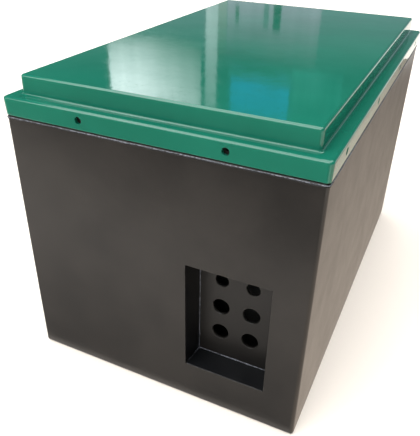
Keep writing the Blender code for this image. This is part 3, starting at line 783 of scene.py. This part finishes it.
def make_resin_beads():
    """Thin fillets of resin along the recess's inner corners, uneven in width."""
    behind_mouth = 0.0015
    off_walls = 0.0007
    step = 0.002
    lumps_per_metre = 330
    mouth_y = -BODY_HALF_Y + behind_mouth
    back_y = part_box("entry_plate")[0].y - GAP
    inset = Vector((off_walls, 0, off_walls))
    lean = Vector((POCKET_SIDE_DRAFT, 0, POCKET_DRAFT))
    mouth_low, mouth_high = OPENING_LOW + inset, OPENING_HIGH - inset
    back_low, back_high = mouth_low + lean, mouth_high - lean
    mouth_left = Vector((mouth_low.x, mouth_y, mouth_low.z))
    mouth_right = Vector((mouth_high.x, mouth_y, mouth_low.z))
    low_left = Vector((back_low.x, back_y, back_low.z))
    low_right = Vector((back_high.x, back_y, back_low.z))
    high_left = Vector((back_low.x, back_y, back_high.z))
    high_right = Vector((back_high.x, back_y, back_high.z))
    runs = (
        ("left", low_left, high_left, 0.00042),
        ("bottom", low_left, low_right, 0.00060),
        ("right", low_right, high_right, 0.00042),
        ("top", high_left, high_right, 0.00050),
        ("floor_left", mouth_left, low_left, 0.00034),
        ("floor_right", mouth_right, low_right, 0.00034),
    )
    for name, start, end, radius in runs:
        parts = max(6, round((end - start).length / step))
        points = [start.lerp(end, part / parts) for part in range(parts + 1)]
        widths = [1 + 0.8 * noise.noise(point * lumps_per_metre) for point in points]
        bead = new_tube("resin_bead_" + name, points, widths, radius, MATERIALS["resin"])
        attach(bead, "station")


def make_shoulder_bead(name, z, radius, material, lumpy):
    """An uneven line, wiped along the shoulder just under the lid's skirt: the resin bead, and also the dark
    line below it that paints the skirt's shadow.
    """
    off_wall = 0.0002
    drift = 0.0004
    thinnest, usual = 0.3, 0.8
    swell_scale, drift_scale, lump_scale, speck_scale = 12, 60, 260, 900
    ring = rounded_ring(BODY_HALF_X + off_wall, BODY_HALF_Y + off_wall, BODY_CORNER, z, steps=5)
    points = []
    widths = []
    for start, end in zip(ring, ring[1:] + ring[:1]):
        parts = max(1, round((end - start).length / BEAD_STEP))
        for part in range(parts):
            place = start.lerp(end, part / parts)
            points.append((place.x, place.y, place.z + drift * noise.noise(place * drift_scale)))
            lumps = noise.noise(place * lump_scale) + 0.7 * noise.noise(place * speck_scale)
            swell = 0.5 * noise.noise(place * swell_scale)
            widths.append(max(thinnest, usual + lumpy * (0.55 * lumps + swell)))
    bead = new_tube(name, points, widths, radius, MATERIALS[material], closed=True)
    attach(bead, "station")


# ---- inside

def grooved(point):
    """A ring point in its plane, drawn in towards the middle near each of four lengthwise grooves."""
    flat = Vector((point.x, point.y))
    groove = GROOVE_DEPTH * max(0, cos(flat.angle_signed(Vector((1, 0))) * 4)) ** 6
    return flat * (1 - groove / flat.length)


def block_rings(half, end):
    """Rings from one end of a block to the other, and back through the hole for its rod."""
    side, slumped, lip, tip = 0.0003, 0.0012, 0.001, 0.003
    profile = [(tip, -end), (slumped, -end + lip), (side, -end + tip)]
    profile += levels(side, -end + tip, side, end - tip, 14)
    profile += [(side, end - tip), (slumped, end - lip), (tip, end)]
    rings = []
    for inset, z in profile:
        ring = rounded_ring(half - inset, half - inset, BLOCK_CORNER - inset * 0.6, z, 8, 8, steps=4)
        rings.append([Vector((*grooved(point), z)) for point in ring])
    hole_radius = ROD_RADIUS + HOLE_CLEARANCE
    for z in (end, -end):
        hole = [Vector((point.x, point.y)).normalized() * hole_radius for point in rings[0]]
        rings.append([Vector((*flat, z)) for flat in hole])
    return rings


def make_bait_blocks():
    """Cast wax blocks: lengthwise grooves for teeth, slumped edges and a lumpy grain."""

    def off_the_hole(point):
        return 1.0 * (Vector((point.x, point.y)).length > 2 * ROD_RADIUS)

    for node in sorted(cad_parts):
        if not node.startswith("bait_block"):
            continue
        low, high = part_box(node)
        centre = (low + high) / 2
        mesh = skin(block_rings((high.z - low.z) / 2, (high.x - low.x) / 2), node + "_wax", closed=True)
        seed = centre.x * 90 + centre.y * 40
        ripple(mesh, depth=0.00028, scale=170.0, weight=off_the_hole, seed=seed)
        mesh.transform(Matrix.Translation(centre) @ Matrix.Rotation(pi / 2, 4, "Y"))
        piece = new_piece(node + "_wax", mesh, MATERIALS["bait_wax"])
        settle(piece, angle=50)
        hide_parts(node)
        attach(piece, "rod_" + node.split("_")[2])


def make_plain_parts():
    """The metal and plastic parts whose shape is already right, with their edges rounded."""
    kinds = (
        ("baffle_plate", "aluminium", "baffle", 0.0004),
        ("baffle_channel", "dark_fibreglass", "station", 0.0006),
        ("rod_rack", "aluminium", "station", 0.0004),
        ("rack_screw", "zinc_steel", "station", 0.0002),
        ("nut_plate", "zinc_steel", "station", 0.0004),
        ("tray_rail", "dark_fibreglass", "station", 0.0004),
        ("bait_tray", "tray_plastic", "tray", 0.0005),
        ("rod_clip", "spring_steel", None, 0.0002),
    )
    for node in sorted(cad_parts):
        for start, slot, body, bevel in kinds:
            if node.startswith(start):
                piece = refined(node, node + "_finished", MATERIALS[slot], bevel)
                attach(piece, body or "rod_" + node.split("_")[2])


def make_rods():
    """Round wire with eased ends in place of each faceted rod, its right end bent up."""
    bend_radius = 0.008
    ease = 0.0012
    tip_width = 0.6
    for number in (1, 2, 3):
        node = f"bait_rod_{number}"
        low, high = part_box(node)
        axis_z = low.z + ROD_RADIUS
        y = (low.y + high.y) / 2
        reach = high.x - ROD_RADIUS
        bend = quarter_turn((reach - bend_radius, axis_z), (reach, axis_z + bend_radius), "level", steps=10)
        route = [(low.x, axis_z), (low.x + ease, axis_z), *bend, (reach, high.z - ease), (reach, high.z)]
        points = [(x, y, z) for x, z in route]
        widths = [tip_width, *[1.0] * (len(route) - 2), tip_width]
        wire = new_tube(node + "_wire", points, widths, ROD_RADIUS, MATERIALS["bright_steel"], resolution=6)
        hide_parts(node)
        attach(wire, f"rod_{number}")


def dress_seal():
    """The foam strip keeps its CAD shape and gets its foam."""
    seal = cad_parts["lid_seal"]
    seal.data.materials.clear()
    seal.data.materials.append(MATERIALS["seal_foam"])


# ---- studio

def make_floor():
    """A floor so wide that its edge never shows."""
    reach = 30
    bm = bmesh.new()
    bmesh.ops.create_grid(bm, x_segments=2, y_segments=2, size=reach)
    mesh = bpy.data.meshes.new("floor")
    bm.to_mesh(mesh)
    bm.free()
    floor = new_piece("floor", mesh, FLOOR_MATERIAL)


def make_panel_light(name, place, target, size, power):
    """A soft rectangular light turned to its target, which the camera doesn't see."""
    data = bpy.data.lights.new(name, "AREA")
    data.shape = "RECTANGLE"
    data.size, data.size_y = size
    data.energy = power
    light = bpy.data.objects.new(name, data)
    light.location = place
    light.rotation_euler = (Vector(target) - Vector(place)).to_track_quat("-Z", "Y").to_euler()
    light.visible_camera = False
    bpy.context.scene.collection.objects.link(light)


def make_card(
    name, centre, size, colour, strength, streaks=0.0, fade=0.0, fade_right=0.0, turn=(0, 0, 0)
):
    """A glowing card that only glossy surfaces see, upright unless turned.

    It may be streaky, and dimmer towards its foot or its right.
    """
    mesh = bpy.data.meshes.new(name)
    half_x, half_z = size[0] / 2, size[1] / 2
    corners = ((-half_x, 0, -half_z), (half_x, 0, -half_z), (half_x, 0, half_z), (-half_x, 0, half_z))
    mesh.from_pydata(corners, [], [(0, 1, 2, 3)])
    n = Nodes(name)
    tree = n.tree
    tree.nodes.remove(n.shader)
    glow = tree.nodes.new("ShaderNodeEmission")
    glow.inputs["Color"].default_value = (*colour, 1)
    level = n.ramp(n.noise(5.0, 3.0, stretch=(1.0, 1.0, 0.15)), 0.3, 0.7, 1 - streaks, 1.0)
    along = tree.nodes.new("ShaderNodeSeparateXYZ")
    tree.links.new(n.coords, along.inputs[0])
    rising = n.ramp(along.outputs[2], -half_z, half_z * 0.6, 1 - fade, 1.0)
    level = n.math("MULTIPLY", level, rising)
    falling = n.ramp(along.outputs[0], -half_x * 0.3, half_x, 1.0, 1 - fade_right)
    level = n.math("MULTIPLY", level, falling)
    tree.links.new(n.math("MULTIPLY", level, strength), glow.inputs["Strength"])
    tree.links.new(glow.outputs[0], tree.nodes["Material Output"].inputs["Surface"])
    card = new_piece(name, mesh, n.material)
    card.location = centre
    card.rotation_euler = turn
    card.visible_camera = False
    card.visible_diffuse = False
    card.visible_shadow = False
    card.visible_transmission = False


def make_lights():
    """A high frontal key and a wide overhead panel."""
    make_panel_light("key", place=(-0.75, -2.3, 2.5), target=(0, 0, 0.15), size=(3.6, 3.2), power=165)
    make_panel_light("overhead", place=(-0.2, 1.2, 3.4), target=(-0.2, 1.2, 0), size=(5.0, 5.0), power=260)


def make_wall_cards():
    """What the lid mirrors, all on one far wall: a window, a door's frame, a curtain, a poster and leaves,
    with dim shapes hung before the curtain."""
    wall_y = 2.4
    hung_y = wall_y - 0.02
    head_down = (0, pi, 0)
    make_card(
        "window",
        (-1.60, wall_y, 1.22),
        (0.70, 0.46),
        (0.92, 0.97, 1.0),
        4.2,
        streaks=0.3,
        fade=0.9,
        fade_right=0.72,
    )
    make_card("door_frame", (-1.180, wall_y, 1.06), (0.080, 0.74), (0.90, 1.0, 1.04), 1.0, streaks=0.45)
    make_card(
        "door_edge",
        (-1.112, wall_y, 0.86),
        (0.055, 0.46),
        (0.95, 0.95, 0.95),
        0.56,
        fade=0.9,
        turn=head_down,
    )
    make_card(
        "curtain",
        (-0.80, wall_y, 0.83),
        (0.56, 0.46),
        (1.0, 0.88, 1.12),
        0.74,
        streaks=0.35,
        fade=0.88,
        turn=head_down,
    )
    make_card("post", (-0.765, hung_y, 0.78), (0.045, 0.17), (0.4, 0.5, 0.4), 0.16, streaks=0.6)
    make_card("shelf", (-0.83, hung_y, 0.78), (0.030, 0.15), (0.8, 0.9, 1.0), 0.36, streaks=0.6)
    make_card("rail", (-1.01, hung_y, 0.80), (0.022, 0.09), (0.4, 0.5, 0.4), 0.22)
    make_card("poster", (-0.85, wall_y, 1.30), (0.385, 0.24), (0.05, 0.45, 1.0), 1.1, streaks=0.3)
    make_card("poster_head", (-0.85, wall_y, 1.155), (0.42, 0.05), (0.35, 0.9, 1.0), 0.34, streaks=0.7)
    make_card("leaves", (-0.50, wall_y, 1.24), (0.30, 0.34), (0.30, 0.95, 0.90), 0.42, streaks=1.0)


def make_near_cards():
    """What the walls mirror: a dim flag before the front, and the floor by the front and the right side."""
    flat = (pi / 2, 0, 0)
    flag_turn = (0, 0, radians(8))
    foot_y = -BODY_HALF_Y - 0.155
    make_card("dark_flag", (-0.33, -0.675, 0.30), (1.4, 0.60), (1.0, 0.94, 0.87), 0.24, turn=flag_turn)
    make_card("foot_shade", (-0.15, foot_y, 0.003), (0.90, 0.30), (1, 0.93, 0.86), 1.30, fade=0.68, turn=flat)
    make_card("warm_floor", (0.62, 0.45, 0.004), (0.90, 2.0), (0.99, 0.84, 0.70), 1.20, fade=0.62, turn=flat)


def make_world():
    """A cool room, dim overhead, which surfaces see; the camera sees a white backdrop in its place."""
    room_colour, backdrop_colour = (0.82, 0.95, 1.10, 1.0), (1.0, 0.99, 0.975, 1.0)
    wall_strength, ceiling_strength = 0.42, 0.05
    wall_ends, ceiling_starts = 0.13, 0.27
    world = bpy.data.worlds.new("studio")
    world.use_nodes = True
    tree = world.node_tree
    room = tree.nodes["Background"]
    room.inputs["Color"].default_value = room_colour
    direction = tree.nodes.new("ShaderNodeTexCoord").outputs["Generated"]
    upright = tree.nodes.new("ShaderNodeSeparateXYZ")
    tree.links.new(direction, upright.inputs[0])
    level = tree.nodes.new("ShaderNodeMapRange")
    level.inputs["From Min"].default_value = wall_ends
    level.inputs["From Max"].default_value = ceiling_starts
    level.inputs["To Min"].default_value = wall_strength
    level.inputs["To Max"].default_value = ceiling_strength
    tree.links.new(upright.outputs[2], level.inputs["Value"])
    tree.links.new(level.outputs["Result"], room.inputs["Strength"])
    backdrop = tree.nodes.new("ShaderNodeBackground")
    backdrop.inputs["Color"].default_value = backdrop_colour
    seen = tree.nodes.new("ShaderNodeLightPath").outputs["Is Camera Ray"]
    either = tree.nodes.new("ShaderNodeMixShader")
    tree.links.new(seen, either.inputs[0])
    tree.links.new(room.outputs[0], either.inputs[1])
    tree.links.new(backdrop.outputs[0], either.inputs[2])
    tree.links.new(either.outputs[0], tree.nodes["World Output"].inputs["Surface"])
    bpy.context.scene.world = world


def make_camera():
    """A hand-held view from above the entry end, a little to the right and very slightly rolled."""
    azimuth, elevation, roll = radians(24.63), radians(30.99), radians(1.29)
    place = (0.2489, -0.6807, 0.5219)
    back = Vector((sin(azimuth) * cos(elevation), -cos(azimuth) * cos(elevation), sin(elevation)))
    right = Vector((cos(azimuth), sin(azimuth), 0))
    up = back.cross(right)
    leaned_right = right * cos(roll) + up * sin(roll)
    leaned_up = up * cos(roll) - right * sin(roll)
    data = bpy.data.cameras.new("camera")
    data.lens = 44.6
    camera = bpy.data.objects.new("camera", data)
    axes = Matrix((leaned_right, leaned_up, back)).transposed().to_4x4()
    camera.matrix_world = Matrix.Translation(place) @ axes
    bpy.context.scene.collection.objects.link(camera)
    bpy.context.scene.camera = camera


make_body()
make_lid()
make_pocket()
make_entry_plate()
make_resin_beads()
make_shoulder_bead("shoulder_bead", BEAD_Z, BEAD_RADIUS, "resin", lumpy=1.0)
# A dark line of near-black fibreglass under the resin bead: painted shade, the shadow under the skirt's edge
make_shoulder_bead("shoulder_shade_line", SHADE_LINE_Z, SHADE_LINE_RADIUS, "shade_black_fibreglass", lumpy=0.4)
make_bait_blocks()
make_rods()
make_plain_parts()
dress_seal()
make_floor()
make_lights()
make_wall_cards()
make_near_cards()
make_world()
make_camera()
bpy.context.scene.view_settings.view_transform = "Standard"
